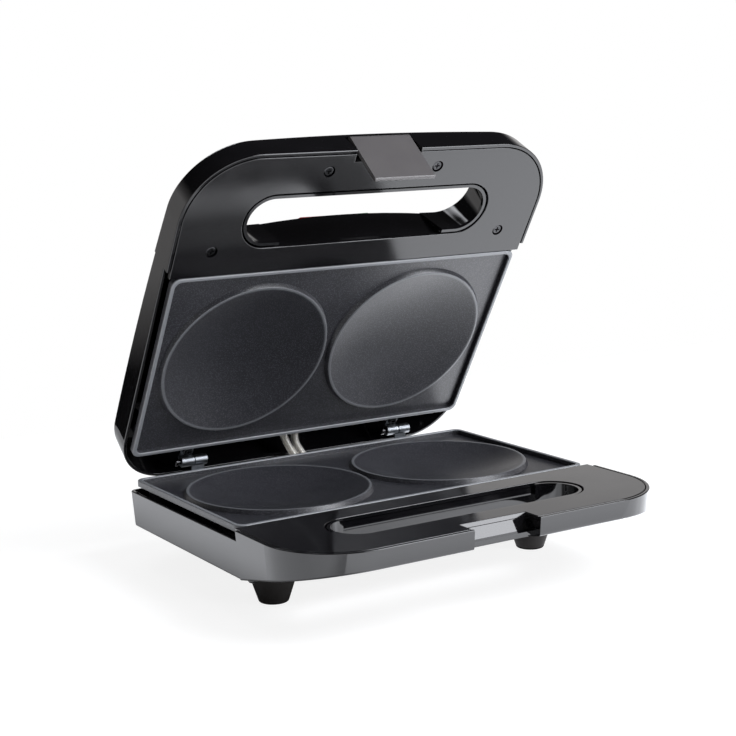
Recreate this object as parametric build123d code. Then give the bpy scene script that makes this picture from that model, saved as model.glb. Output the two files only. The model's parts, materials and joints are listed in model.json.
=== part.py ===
from build123d import *
import math
import os

os.makedirs("parts", exist_ok=True)

# All sizes are millimetres. Each half is drawn with its closing plane at z = 0, its body below,
# y = 0 at the front edge of the cooking plate and x = 0 at the middle.

# Cooking plates
plate_w = 226.0
plate_d = 125.65
plate_corner_r = 5.0
lip_w = 2.4
lip_h = 3.0
lip_edge_r = 0.7
flange_t = 3.6
slab_inset = 4.0
slab_t = 2.6
ring_side = 5.96            # from the plate's side edge to the ring's foot
ring_apart = 2.08           # between the feet of the two rings
ring_slope = 1.4
ring_top_w = 1.2
ring_sink = 0.5             # ring's top below the lip plane
ring_edge_r = 0.5
bowl_depth = 9.2
root_inset = 0.6            # the bowl's root is this much smaller than the ring's foot
pad_inset = 9.0             # and its flat underside this much
pad_z = -12.6
lip_gap = 0.3               # between the two plates' lips when closed

# Casing, both halves
wall = 2.0                  # wall of the moulded casings, and of the rim around the covers
rim_beside = 4.0            # the rim stands this far outside the plate's side edge
handle_proud = 0.6          # the handle part stands this much outside the body
case_front = 75.8           # front wall, ahead of the plate's front edge
front_corner_r = 41.0
draft = 0.075               # inward slope of the walls, mm per mm of depth
seam = 5.0                  # the handle part ends this far ahead of the plate
rim_drop = 6.0              # the rim beside the plate lies this far below the lip plane
edge_round = 1.2            # rounding of the outer bottom edge
rim_edge_r = 0.5            # rounding of the rims' edges

# Base casing
base_depth = 26.7
base_front_depth = 10.5     # depth of the casing at its front wall
base_behind = 1.25          # rear wall behind the plate's rear edge
base_back_r = 4.5

# Lid casing
lid_depth = 30.7            # depth at the crown of the lid
lid_behind = 24.85          # rear wall behind the plate's rear edge
lid_back_r = 33.0
crown_y = 90.0              # the crown's highest place
crown_long_r = 1163.0       # crown radius front to back
crown_cross_r = 1124.0      # crown radius side to side

# Handle covers and finger slot
cover_t = 2.2
cover_drop = 0.3            # cover face below the lip plane
cover_gap = 0.5             # joint between the cover and the casing's rim
cover_edge_r = 0.4
plate_joint = 0.35          # joint between the cover and the plate
slot_y = -33.3
slot_half_straight = 62.4
slot_r = 17.1
collar_inset = 2.9          # the casing's tunnel is smaller than the cover's slot
collar_t = 1.8
collar_sink = 0.5           # collar's top below the cover's face
bump_back = 16.7            # the tunnel's rear wall steps back to here, over a half width
lid_bump_short = 8.9        # half width by which the lid's step is shorter than the base's
lid_bump_sag = 3.0          # the lid's rear wall curves back by this much at the slot's ends
base_flare = 2.0            # degrees by which the tunnels widen outwards
lid_flare = 11.0
bump_ledge_z = -6.5         # ledge on the base tunnel's rear wall
bump_ledge_t = 1.2

# Heating parts
tube_r = 3.0
tube_gap = 0.2
tube_reach_x = 28.0         # from a bowl's middle out to the tube's side run
tube_reach_y = 29.0         # and to its front and rear runs
tube_bend_r = 18.0
tube_end_x = 9.75
tube_end_bend_r = 6.0
tube_end_run = 7.2          # the ends stand this far behind the rear run
pin_r = 1.2
pin_out = 5.0
strap_t = 0.8
strap_w = 10.0
strap_foot = 6.6
strap_screw_grip = 3.6      # length of the strap screws
strap_hole = 3.2            # depth of their holes in the plate
shield_t = 0.5
shield_side = 8.0           # margins of the heat shield around the tube
shield_ahead = 12.0
shield_behind = 14.0
shield_z = -20.3            # inner face of the heat shield
shield_up = 1.8
shield_corner = 8.0

# Hinge
hinge_back = 11.6           # axis behind the plate's rear edge
hinge_z = 2.8
hinge_x = 72.0
hinge_shift = 1.6           # both hinges are the same hand, their joints lie to the right
open_deg = 59.0
knuckle_r = 3.2
knuckle_w = 8.0
knuckle_gap = 0.5
hinge_pin_r = 1.4
pin_running = 0.06
pin_head_r = 2.2
pin_head_w = 1.6
pin_stub = 2.2              # bare pin between its head and the lid knuckle
leaf_t = 1.2
leaf_low_z = -14.5          # lower end of the base leaves
leaf_screw_z = -10.6
lid_leaf_z = -4.6           # seat of the lid leaves' screws

# Latch
latch_w = 38.2
latch_t = 2.4
latch_top = 14.5            # above the closing plane, measured on the closed lid
latch_bottom = -18.7
latch_top_out = 0.9         # proud of the casing's front wall at its top
latch_lean = 5.9            # the lower end is set back by this much
latch_pivot_z = 9.0
latch_pivot_in = 2.8        # pivot behind the casing's front wall
latch_pin_r = 1.2
latch_barrel_r = 2.4
latch_round = 1.9           # rounding of its top edge, which turns close under the casing
latch_room = 6.9            # depth of the slot it hangs in
latch_side_gap = 1.5
recess_half_w = 20.8
recess_deep = 13.0
recess_lean = 2.5
ledge_z = -8.9
ledge_t = 2.0
ledge_front = 69.2
gusset_w = 2.5
hook_half_w = 16.0
hook_gap = 0.4

# Feet
foot_h = 21.6
foot_root_r = 15.0
foot_tip_r = 7.9
front_foot_x = 85.4
front_foot_y = 15.6
rear_foot_x = 72.0
rear_foot_in = 14.9         # from the rear wall

# Screws
screw_r = 1.5
screw_head_r = 3.0
screw_head_h = 1.8
screw_play = 0.1
post_r = 4.6
cover_screw_a = (34.9, -63.2)
cover_screw_b = (93.95, -16.3)
cover_boss_z = -5.0
ear_x = 60.0
ear_w = 12.0
ear_out = 9.5
ear_z = -5.0
ear_t = 2.6
rear_boss_side = 9.0        # from the plate's side edge
rear_boss_in = 9.65         # from its rear edge
rear_boss_z = -14.0
shield_screw_x = 30.0
shield_screw_ahead = 7.0    # ahead of the tube's front run
shield_screw_behind = 8.2   # behind its rear run
floor_seat = 1.0            # seats of the rear screws above the casing's inner floor
cover_seat_z = -9.5         # seats of the base cover's screws, driven from below
foot_seat = 6.0             # seats of the foot screws below the casing
base_cover_screw = 7.6      # lengths
lid_cover_screw = 9.0
ear_screw = 9.0
rear_screw = 15.4
base_shield_screw = 3.2
lid_shield_screw = 2.4
foot_screw = 12.0
lid_leaf_screw = 9.0

# Wiring
wire_r = 0.8                # inner wires
link_r = 2.4                # sleeved wires between base and lid
link_base_x = (0.0, 5.6)
link_lid_x = (-8.2, -2.6)
link_base_z = -8.9          # where they pass the base's rear wall
link_way_z = -19.0
link_way_r = 2.5
link_rise_in = 7.0          # they rise this far inside the rear wall
link_out = 6.1              # and stand out straight this far behind it
link_lid_behind = 8.35      # where they enter the lid, behind the plate's rear edge
link_lid_z = -8.0
link_pin_run = 15.0         # straight run onto the element's pins
bush_in = 2.3               # the bush's neck inside the rear wall
notch_half_w = 7.0
notch_z = -12.4
gland_x = 34.0
gland_z = -15.0
gland_bore_r = 3.3
gland_r = 5.6
block_half_w = 13.0
block_in = 9.7              # terminal block's back from the rear wall
block_long = 8.8
block_top = -13.0
way_z = -21.9               # height of the wires' ways in the terminal block
way_r = 1.3
way_deep = 3.5
stat_ahead = 19.8           # thermostat and thermal fuse ahead of the tube's front run
stat_tab_z = -16.0
stat_tab_x = 3.25

# Signal lamps, behind the lid's slot
lens_len = 24.0
lens_w = 6.6
lens_up = 1.4
lens_behind = 4.4           # behind the slot's stepped rear wall
lens_mid_x = -3.6
lens_gap = 1.2
lens_stem_w = 3.4
lamp_r = 2.0
lamp_half = 5.5

# Worked-out values
deep = 60.0                 # cutting blocks reach this far down
body_half_w = plate_w / 2 + rim_beside
handle_half_w = body_half_w + handle_proud
base_back = plate_d + base_behind
lid_back = plate_d + lid_behind
base_floor_z = -base_depth + wall
base_bump_half_w = slot_half_straight
lid_bump_half_w = slot_half_straight - lid_bump_short
bump_y = slot_y + bump_back
slope_run = case_front - seam
slope_rise = base_depth - base_front_depth
hinge_y = plate_d + hinge_back
ring_r = (plate_w / 2 - ring_side - ring_apart / 2) / 2
bowl_x = ring_r + ring_apart / 2
bowl_y = plate_d / 2
ring_top_z = -ring_sink
tube_z = pad_z - tube_gap - tube_r
tube_half_w = bowl_x + tube_reach_x
tube_front = bowl_y - tube_reach_y
tube_back = bowl_y + tube_reach_y
tube_end_y = tube_back + tube_end_run
rear_boss = (plate_w / 2 - rear_boss_side, plate_d - rear_boss_in)
shield_screw_ys = (tube_front - shield_screw_ahead, tube_back + shield_screw_behind)
rear_foot_y = base_back - rear_foot_in
block_back = base_back - block_in
block_front = block_back - block_long
stat_y = tube_front - stat_ahead
lens_y = bump_y + lens_behind
link_rise_y = base_back - link_rise_in
link_out_y = base_back + link_out
link_lid_y = plate_d + link_lid_behind
leaf_y = base_back - wall + draft * leaf_low_z - leaf_t + 0.15    # the base leaves, let into the rear wall
lid_leaf_y = plate_d + 4.9             # the lid leaves' screws
axis_x = Axis((0, hinge_y, hinge_z), (1, 0, 0))


def block(x0, x1, y0, y1, z0, z1):
    """A block between two corners."""
    centre = Pos((x0 + x1) / 2, (y0 + y1) / 2, (z0 + z1) / 2)
    return centre * Box(x1 - x0, y1 - y0, z1 - z0)


def rod(r, x, y, z0, z1):
    """An upright cylinder between two heights."""
    return Pos(x, y, (z0 + z1) / 2) * Cylinder(r, z1 - z0)


def cross_rod(r, x0, x1, y, z):
    """A cylinder along X."""
    return Pos((x0 + x1) / 2, y, z) * Rot(0, 90, 0) * Cylinder(r, x1 - x0)


def side_prism(points, x0, x1):
    """A profile of (y, z) points carried along X."""
    face = make_face(Polyline(*[(0, y, z) for y, z in points], close=True))
    return Pos(x0, 0, 0) * extrude(face, amount=x1 - x0, dir=(1, 0, 0))


def both_sides(shape):
    """The shape and its mirror image across the middle."""
    return shape + mirror(shape, about=Plane.YZ)


def rounded_plan(half_w, front, back, front_r, back_r):
    """Outline with round corners, seen from above."""
    sheet = Pos(0, (back + front) / 2) * Rectangle(2 * half_w, back - front)
    sheet = fillet(sheet.vertices().group_by(Axis.Y)[0], front_r)
    return fillet(sheet.vertices().group_by(Axis.Y)[-1], back_r)


def rounded_under(form, r):
    """Rounds the lower rim of a casing block, where r is over zero."""
    rim = [edge for edge in form.edges() if edge.bounding_box().max.Z < -base_front_depth + 3]
    return form.fillet(r, rim) if r > 0 else form


def rounded_edges(form, level, r):
    """Rounds the long open edges that lie at one height."""
    def lies_there(edge):
        box = edge.bounding_box()
        flat = max(abs(box.min.Z - level), abs(box.max.Z - level)) < 0.01
        return flat and edge.length > 5 and not edge.is_closed

    return form.fillet(r, form.edges().filter_by(lies_there))


def drafted(half_w, front, back, front_r, back_r, depth):
    """Casing block whose walls lean inwards as it goes down."""
    lean = draft * depth
    top = rounded_plan(half_w, front, back, front_r, back_r)
    low = rounded_plan(half_w - lean, front + lean, back - lean, front_r - lean, back_r - lean)
    return loft([top, Pos(0, 0, -depth) * low], ruled=True)


def slot_prism(r, z0, z1):
    """The finger slot's outline between two heights."""
    face = Pos(0, slot_y) * SlotCenterToCenter(2 * slot_half_straight, 2 * r)
    return Pos(0, 0, z0) * extrude(face, amount=z1 - z0)


# Casings


def front_wedge(sink):
    """What the rising underside takes off the base, and sink moves it inwards."""
    slope = slope_rise / slope_run
    far = case_front + 20
    shift = sink * math.sqrt(1 + slope ** 2)
    z_far = -base_front_depth + 20 * slope + shift
    return side_prism(
        [(-seam + 0.01, -base_depth + shift), (-far, z_far), (-far, -deep), (-seam + 0.01, -deep)], -200, 200
    )


def base_form(inset):
    """Outside of the base casing, or its inside when inset is the wall."""
    front, back = -case_front + inset, base_back - inset
    front_r, back_r = front_corner_r - inset, base_back_r - inset / 2
    depth = base_depth - inset
    handle = drafted(handle_half_w - inset, front, back, front_r, back_r, depth) - front_wedge(inset)
    body = drafted(body_half_w - inset, front, back, front_r, back_r, depth)
    handle = rounded_under(handle, edge_round - inset)
    body = rounded_under(body, edge_round - inset)
    front_part = handle & block(-200, 200, -200, -seam + inset, -deep, 1)
    return front_part + (body & block(-200, 200, -seam, 200, -deep, 1))


def lid_dome(inset):
    """Region above the crowned outer face of the lid, drawn upside down."""
    r = crown_cross_r - inset
    apex = -(lid_depth - inset)
    reach = body_half_w + 20
    drop = r - math.sqrt(r ** 2 - reach ** 2)
    arc = ThreePointArc((-reach, crown_y, apex + drop), (0, crown_y, apex), (reach, crown_y, apex + drop))
    lines = Polyline(
        (reach, crown_y, apex + drop), (reach, crown_y, 40), (-reach, crown_y, 40), (-reach, crown_y, apex + drop)
    )
    axis = Axis((0, crown_y, crown_long_r - lid_depth), (1, 0, 0))
    fan = revolve(make_face(arc + lines), axis=axis, revolution_arc=16)
    return fan.rotate(axis, -11)


def lid_form(inset):
    """Outside of the lid casing, or its inside when inset is the wall."""
    front, back = -case_front + inset, lid_back - inset
    front_r, back_r = front_corner_r - inset, lid_back_r - inset
    dome = lid_dome(inset)
    handle = drafted(handle_half_w - inset, front, back, front_r, back_r, lid_depth + 4) & dome
    body = drafted(body_half_w - inset, front, back, front_r, back_r, lid_depth + 4) & dome
    handle = rounded_under(handle, edge_round - inset)
    body = rounded_under(body, edge_round - inset)
    front_part = handle & block(-200, 200, -200, -seam + inset, -deep, 1)
    return front_part + (body & block(-200, 200, -seam, 200, -deep, 1))


def flared_slot(r, flare, top):
    """The finger slot's outline from a height downwards, widening at an angle as it goes."""
    face = Pos(0, slot_y) * SlotCenterToCenter(2 * slot_half_straight, 2 * r)
    return Pos(0, 0, top) * extrude(face, amount=40, dir=(0, 0, -1), taper=-flare)


def before_arc(wall_y, sag, front):
    """Room between a front plane and an upright wall that curves back at its ends."""
    side = 100
    far = wall_y + sag * (side / slot_half_straight) ** 2
    plan = make_face(
        ThreePointArc((-side, far), (0, wall_y), (side, far))
        + Polyline((side, far), (side, front), (-side, front), (-side, far))
    )
    return Pos(0, 0, -deep) * extrude(plan, amount=deep + 10)


def tunnel_room(grow, flare, half_w, wall_y, sag, top):
    """Space of the finger tunnel. grow thickens it, for the collar around it."""
    r = slot_r - collar_inset + grow
    room = flared_slot(r, flare, top) & before_arc(wall_y + grow, sag, -case_front)
    step = before_arc(wall_y + grow, sag, slot_y)
    return room + (step & block(-half_w - grow, half_w + grow, slot_y, 0, -deep, min(top, 5)))


def base_tunnel(outer):
    """Collar around the base's finger slot and the hole through it."""
    under_cover = -cover_drop - cover_t - 0.3
    collar = flared_slot(slot_r - collar_inset + collar_t, base_flare, -cover_drop - collar_sink)
    collar += tunnel_room(collar_t, base_flare, base_bump_half_w, bump_y, 0.01, under_cover)
    hole = flared_slot(slot_r - collar_inset, base_flare, 5)
    hole += block(-base_bump_half_w, base_bump_half_w, slot_y, bump_y, bump_ledge_z, 5)
    hole += block(-base_bump_half_w, base_bump_half_w, slot_y, bump_y - bump_ledge_t, -deep, bump_ledge_z)
    return collar & outer, hole


def lid_tunnel(outer):
    """Collar around the lid's finger slot and the flared hole through it."""
    top = -cover_drop - collar_sink
    under_cover = -cover_drop - cover_t - 0.3
    collar = slot_prism(slot_r - collar_inset + collar_t, under_cover - 1, top)
    collar += tunnel_room(collar_t, lid_flare, lid_bump_half_w, bump_y, lid_bump_sag, under_cover)
    hole = tunnel_room(0, lid_flare, lid_bump_half_w, bump_y, lid_bump_sag, under_cover)
    hole += slot_prism(slot_r - collar_inset, under_cover - 0.01, 5)
    hole += block(-lid_bump_half_w, lid_bump_half_w, slot_y, bump_y, under_cover - 0.01, 5)
    return collar & outer, hole


def latch_recess(outer):
    """Solid block behind the latch recess and the space cut into it."""
    top = -cover_drop - cover_t - 0.3
    back = -case_front + recess_deep
    shell = block(-recess_half_w - wall, recess_half_w + wall, -case_front, back + wall, -deep, top) & outer
    space = side_prism(
        [(-100, 5), (back, 5), (back, -cover_drop), (back - recess_lean, ledge_z), (-100, ledge_z)],
        -recess_half_w, recess_half_w
    )
    space += block(-recess_half_w, recess_half_w, -100, -ledge_front, -deep, ledge_z)
    space += block(-recess_half_w, recess_half_w, -100, -ledge_front + 3.5, -deep, ledge_z - ledge_t)
    gusset = side_prism(
        [(back, top), (-ledge_front, ledge_z), (back, ledge_z)], recess_half_w - gusset_w, recess_half_w
    )
    return shell, space, both_sides(gusset)


def base_shell():
    """Lower casing with its posts, collar, recess and foot bosses."""
    outer = base_form(0)
    shell = outer - base_form(wall)
    collar, hole = base_tunnel(outer)
    pocket, space, gussets = latch_recess(outer)
    shell += collar
    shell += pocket
    posts = []
    for x, y in (cover_screw_a, cover_screw_b):
        posts.append(rod(post_r, x, y, -deep, cover_boss_z))
    posts.append(rod(post_r, ear_x, -ear_out + post_r, -deep, ear_z - ear_t))
    posts.append(rod(post_r, *rear_boss, -deep, rear_boss_z))
    posts.append(rod(post_r, front_foot_x, front_foot_y, -deep, shield_z + 3))
    posts.append(rod(post_r, rear_foot_x, rear_foot_y, -deep, shield_z + 3))
    for y in shield_screw_ys:
        posts.append(rod(post_r, shield_screw_x, y, -deep, shield_z - shield_t))
    for post in posts:
        shell += both_sides(post & outer)
    shell -= hole
    shell -= space
    shell += gussets
    shell -= block(-200, 200, -seam, 200, -rim_drop, 5)
    shell -= block(-200, 200, -200, 200, -cover_drop, 5)
    shell -= screw_ways_base()
    mid = sum(link_base_x) / 2
    shell -= block(mid - notch_half_w, mid + notch_half_w, base_back - 6, base_back + 2, notch_z, 0)
    shell -= gland_hole()
    shell = rounded_edges(shell, -cover_drop, rim_edge_r)
    shell = rounded_edges(shell, -rim_drop, rim_edge_r)
    return shell + both_sides(front_nub())


def front_nub():
    """Small rounded nub under the front corner of the body."""
    nub = Pos(body_half_w - 8.0, -seam - 1.5, -base_depth + 0.6) * Cylinder(2.6, 4.6)
    return fillet(nub.edges().group_by(Axis.Z)[0], 1.2)


def screw_ways_base():
    """Holes for every screw that goes into or through the base casing."""
    hole_r = screw_r + screw_play
    well_r = screw_head_r + 0.4
    ways = []
    for x, y in (cover_screw_a, cover_screw_b):
        ways.append(rod(hole_r, x, y, -deep, 0))
        ways.append(rod(well_r, x, y, -deep, cover_seat_z))
    ways.append(rod(hole_r, *rear_boss, -deep, 0))
    ways.append(rod(well_r, *rear_boss, -deep, base_floor_z + floor_seat))
    ways.append(rod(hole_r, ear_x, -ear_out + post_r, ear_z - ear_screw - 1, 0))
    for x, y in ((front_foot_x, front_foot_y), (rear_foot_x, rear_foot_y)):
        ways.append(rod(hole_r, x, y, -deep, shield_z + 2))
    for y in shield_screw_ys:
        ways.append(rod(hole_r, shield_screw_x, y, base_floor_z - 1.2, 0))
    out = both_sides(ways[0])
    for way in ways[1:]:
        out += both_sides(way)
    for side in (-1, 1):
        mid = base_leaf_mid(side)
        half = knuckle_w / 2 + 0.2
        out += block(mid - half, mid + half, 100, leaf_y + leaf_t, leaf_low_z - 0.2, 0)
        out += Pos(mid, leaf_y + 2, leaf_screw_z) * Rot(90, 0, 0) * Cylinder(hole_r, 10)
    return out


def gland_hole():
    """Hole in the rear wall for the mains inlet bush."""
    return Pos(gland_x, base_back, gland_z) * Rot(90, 0, 0) * Cylinder(gland_r + 0.05, 20)


def lid_shell():
    """Upper casing, drawn with its closing plane up."""
    outer = lid_form(0)
    shell = outer - lid_form(wall)
    collar, hole = lid_tunnel(outer)
    shell += collar
    shell += lid_latch_housing() & outer
    posts = []
    for x, y in (cover_screw_a, cover_screw_b):
        posts.append(rod(post_r, x, y, -deep, cover_boss_z))
    posts.append(rod(post_r, ear_x, -ear_out + post_r, -deep, ear_z - ear_t))
    posts.append(rod(post_r, *rear_boss, -deep, rear_boss_z) + rod(screw_r, *rear_boss, -deep, rear_boss_z + 6))
    for y in shield_screw_ys:
        posts.append(rod(post_r, shield_screw_x, y, -deep, shield_z - shield_t))
    for post in posts:
        shell += both_sides(post & outer)
    for side in (-1, 1):
        shell += rod(post_r - 0.4, lid_leaf_mid(side), lid_leaf_y, -deep, lid_leaf_z - leaf_t) & outer
    shell -= hole
    shell -= latch_slot()
    shell -= block(-200, 200, -seam, 200, -rim_drop, 5)
    shell -= block(-200, 200, -200, 200, -cover_drop, 5)
    shell -= screw_ways_lid()
    shell -= lens_holes()
    reach = latch_w / 2 + latch_side_gap + 2.0
    shell -= cross_rod(latch_pin_r + 0.02, -reach, reach, -case_front + latch_pivot_in, -latch_pivot_z)
    shell = rounded_edges(shell, -cover_drop, rim_edge_r)
    return rounded_edges(shell, -rim_drop, rim_edge_r)


def lid_latch_housing():
    """Walls around the latch's pivot."""
    half = latch_w / 2 + latch_side_gap + 2.8
    return block(-half, half, -case_front, -case_front + latch_room + 1.7, -deep, -cover_drop - cover_t - 0.3)


def latch_slot():
    """Slot in the lid's front wall in which the latch hangs and turns."""
    half = latch_w / 2 + latch_side_gap
    return block(-half, half, -100, -case_front + latch_room, -latch_top - 0.9, 5)


def screw_ways_lid():
    """Pilot holes in the lid casing's posts."""
    hole_r = screw_r + screw_play
    ways = []
    for x, y in (cover_screw_a, cover_screw_b):
        ways.append(rod(hole_r, x, y, -lid_cover_screw - 3.5, 0))
    ways.append(rod(hole_r, ear_x, -ear_out + post_r, ear_z - ear_screw - 1, 0))
    for y in shield_screw_ys:
        ways.append(rod(hole_r, shield_screw_x, y, shield_z - lid_shield_screw - 0.4, 0))
    out = both_sides(ways[0])
    for way in ways[1:]:
        out += both_sides(way)
    for side in (-1, 1):
        out += rod(hole_r, lid_leaf_mid(side), lid_leaf_y, lid_leaf_z - lid_leaf_screw - 0.5, 0)
    return out


# Handle covers


def handle_cover(recess, screwed_from_face):
    """Cover of the handle part. recess is the notch at its front: half width, y of its back, lean."""
    inset = wall + cover_gap
    face_z = -cover_drop
    plan = rounded_plan(handle_half_w - inset, -case_front + inset, bowl_y, front_corner_r - inset, 1.0)
    cover = Pos(0, 0, face_z - cover_t) * extrude(plan, amount=cover_t)
    cover &= block(-200, 200, -200, -plate_joint, -20, 5)
    for x, y in (cover_screw_a, cover_screw_b):
        cover += both_sides(rod(post_r, x, y, cover_boss_z, face_z - cover_t + 0.1))
    cover -= slot_prism(slot_r, -20, 5)
    half, back, lean = recess
    foot = back - lean * cover_t
    cover -= side_prism(
        [(-200, 5), (back, 5), (back, face_z), (foot, face_z - cover_t), (foot, -20), (-200, -20)], -half, half
    )
    cover = fillet(cover.edges().group_by(Axis.Z)[-1], cover_edge_r)
    hole_r = screw_r + screw_play
    for x, y in (cover_screw_a, cover_screw_b):
        if screwed_from_face:
            cover -= both_sides(rod(hole_r + 0.2, x, y, -20, 5))
            cover -= both_sides(rod(screw_head_r + 0.5, x, y, face_z - screw_head_h - 0.5, 5))
        else:
            cover -= both_sides(rod(hole_r, x, y, -20, face_z - 1.0))
    return cover


# Cooking plate and what hangs under it


def cooking_plate():
    """Die-cast plate with lip, two ringed bowls, rear bosses and front ears. Both halves use it."""
    def sheet(inset, corner, z0, z1):
        half = plate_w / 2 - inset
        plan = rounded_plan(half, inset, plate_d - inset, corner, corner)
        return Pos(0, 0, z0) * extrude(plan, amount=z1 - z0)

    plate = sheet(0, plate_corner_r, -flange_t, 0)
    plate += sheet(slab_inset, plate_corner_r, -lip_h - slab_t, -lip_h)
    plate -= sheet(lip_w, plate_corner_r - 1.0, -lip_h, 5)
    plate = fillet(plate.edges().filter_by(lambda e: abs(e.center().Z) < 0.01), lip_edge_r)
    under_z = -lip_h - slab_t
    ring_high = ring_r - ring_slope
    bowl_r = ring_high - ring_top_w
    sphere_r = (bowl_r ** 2 + bowl_depth ** 2) / (2 * bowl_depth)
    for side in (-1, 1):
        place = Pos(side * bowl_x, bowl_y, 0)
        ring_h = lip_h - ring_sink
        ring = Pos(0, 0, ring_top_z - ring_h / 2) * Cone(ring_r, ring_high, ring_h)
        ring = fillet(ring.edges().group_by(Axis.Z)[-1], ring_edge_r)
        root_h = under_z - pad_z
        root = Pos(0, 0, pad_z + root_h / 2) * Cone(ring_r - pad_inset, ring_r - root_inset, root_h)
        bowl = Pos(0, 0, ring_top_z - bowl_depth + sphere_r) * Rot(90, 0, 0) * Sphere(sphere_r)
        bowl &= rod(bowl_r, 0, 0, -40, ring_top_z + 0.2)
        plate += place * ring
        plate += place * root
        plate -= place * bowl
    hole_r = screw_r + screw_play
    for x, y in strap_screw_places():
        plate -= rod(hole_r, x, y, pad_z - 1, pad_z + strap_hole)
    ear = block(ear_x - ear_w / 2, ear_x + ear_w / 2, -ear_out, slab_inset + 6, ear_z - ear_t, ear_z)
    plate += both_sides(ear - rod(hole_r, ear_x, -ear_out + post_r, -20, 5))
    boss = rod(post_r, *rear_boss, rear_boss_z, under_z + 0.1)
    return plate + both_sides(boss - rod(hole_r, *rear_boss, -20, rear_boss_z + 7))


def heater():
    """Tubular element: one bent tube with a pin at each end."""
    z = tube_z
    points = [
        (tube_end_x, tube_end_y, z), (tube_end_x, tube_back, z), (tube_half_w, tube_back, z),
        (tube_half_w, tube_front, z), (-tube_half_w, tube_front, z), (-tube_half_w, tube_back, z),
        (-tube_end_x, tube_back, z), (-tube_end_x, tube_end_y, z)
    ]
    bends = [tube_end_bend_r] + [tube_bend_r] * 4 + [tube_end_bend_r]
    path = FilletPolyline(*points, radius=bends)
    tube = sweep(Plane(origin=path @ 0, z_dir=path % 0) * Circle(tube_r), path=path)
    for side in (-1, 1):
        pin = Pos(side * tube_end_x, tube_end_y + pin_out / 2 - 0.5, z) * Rot(90, 0, 0)
        tube += pin * Cylinder(pin_r, pin_out + 1.0)
    return tube


def strap_places():
    """Middle of each strap that holds the element under a bowl."""
    return [(side * bowl_x, y) for side in (-1, 1) for y in (tube_front, tube_back)]


def heater_straps():
    """Bridge straps that press the element to the plate."""
    inner = tube_r + tube_gap
    outer = inner + strap_t
    out = []
    for x, y in strap_places():
        x0, x1 = x - strap_w / 2, x + strap_w / 2
        strap = cross_rod(outer, x0, x1, y, tube_z) + block(x0, x1, y - outer, y + outer, tube_z, pad_z)
        strap += block(x0, x1, y - outer - strap_foot, y + outer + strap_foot, pad_z - strap_t, pad_z)
        strap -= cross_rod(inner, x0 - 1, x1 + 1, y, tube_z)
        strap -= block(x0 - 1, x1 + 1, y - inner, y + inner, tube_z, pad_z + 1)
        for side in (-1, 1):
            strap -= rod(screw_r + screw_play, x, y + side * (outer + strap_foot / 2), -40, 5)
        out.append(strap)
    return out


def strap_screw_places():
    """Centre of each strap screw."""
    reach = tube_r + tube_gap + strap_t + strap_foot / 2
    return [(x, y + side * reach) for x, y in strap_places() for side in (-1, 1)]


def heat_shield():
    """Pressed reflector pan behind the element."""
    half, front, back = tube_half_w + shield_side, tube_front - shield_ahead, tube_back + shield_behind
    floor = rounded_plan(half, front, back, shield_corner, shield_corner)
    corner = shield_corner - shield_t
    inner = rounded_plan(half - shield_t, front + shield_t, back - shield_t, corner, corner)
    low = shield_z - shield_t
    pan = Pos(0, 0, low) * extrude(floor, amount=shield_t + shield_up)
    pan -= Pos(0, 0, shield_z) * extrude(inner, amount=shield_up + 5)
    for y in shield_screw_ys:
        pan -= both_sides(rod(screw_r + screw_play, shield_screw_x, y, -deep, 5))
    return pan


# Screws


def screw(length):
    """Pan-head screw with a cross recess, seated at z = 0 and pointing down."""
    head = Pos(0, 0, screw_head_h / 2) * Cylinder(screw_head_r, screw_head_h)
    head = fillet(head.edges().group_by(Axis.Z)[-1], 0.7)
    cross = Box(3.4, 0.8, 2.0) + Box(0.8, 3.4, 2.0)
    body = head + rod(screw_r, 0, 0, -length, 0)
    return body - Pos(0, 0, screw_head_h) * cross


def screws_down(places, seat_z, length):
    """Screws driven downwards at several places."""
    return [Pos(x, y, seat_z) * screw(length) for x, y in places]


def screws_up(places, seat_z, length):
    """Screws driven upwards at several places."""
    return [Pos(x, y, seat_z) * Rot(180, 0, 0) * screw(length) for x, y in places]


def pairs(*places):
    """Each place and its mirror image."""
    return [(side * x, y) for x, y in places for side in (-1, 1)]


# Hinge


def lid_leaf_mid(side):
    """Middle of the lid knuckle on one side. It lies left of the joint on both hinges."""
    return side * hinge_x + hinge_shift - (knuckle_w + knuckle_gap) / 2


def base_leaf_mid(side):
    """Middle of the base knuckle on one side."""
    return side * hinge_x + hinge_shift + (knuckle_w + knuckle_gap) / 2


def base_hinge_leaves():
    """Knuckle, arm over the rim and upright leaf inside the rear wall, for both hinges."""
    inner_y = leaf_y
    arm_z = -(flange_t + rim_drop) / 2
    out = []
    for side in (-1, 1):
        mid = base_leaf_mid(side)
        x0, x1 = mid - knuckle_w / 2, mid + knuckle_w / 2
        leaf = cross_rod(knuckle_r, x0, x1, hinge_y, hinge_z)
        leaf += block(x0, x1, hinge_y + knuckle_r - leaf_t, hinge_y + knuckle_r, arm_z - leaf_t / 2, hinge_z)
        leaf += block(x0, x1, inner_y, hinge_y + knuckle_r, arm_z - leaf_t / 2, arm_z + leaf_t / 2)
        leaf += block(x0, x1, inner_y, inner_y + leaf_t, leaf_low_z, arm_z)
        leaf -= cross_rod(hinge_pin_r + 0.02, x0 - 1, x1 + 1, hinge_y, hinge_z)
        leaf -= Pos(mid, inner_y, leaf_screw_z) * Rot(90, 0, 0) * Cylinder(screw_r + screw_play, 5)
        out.append(leaf)
    return out


def base_hinge_screws():
    """Screws that hold the upright leaves to the rear wall."""
    places = [Pos(base_leaf_mid(side), leaf_y, leaf_screw_z) for side in (-1, 1)]
    return [place * Rot(90, 0, 0) * screw(leaf_t + 2.0) for place in places]


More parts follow.
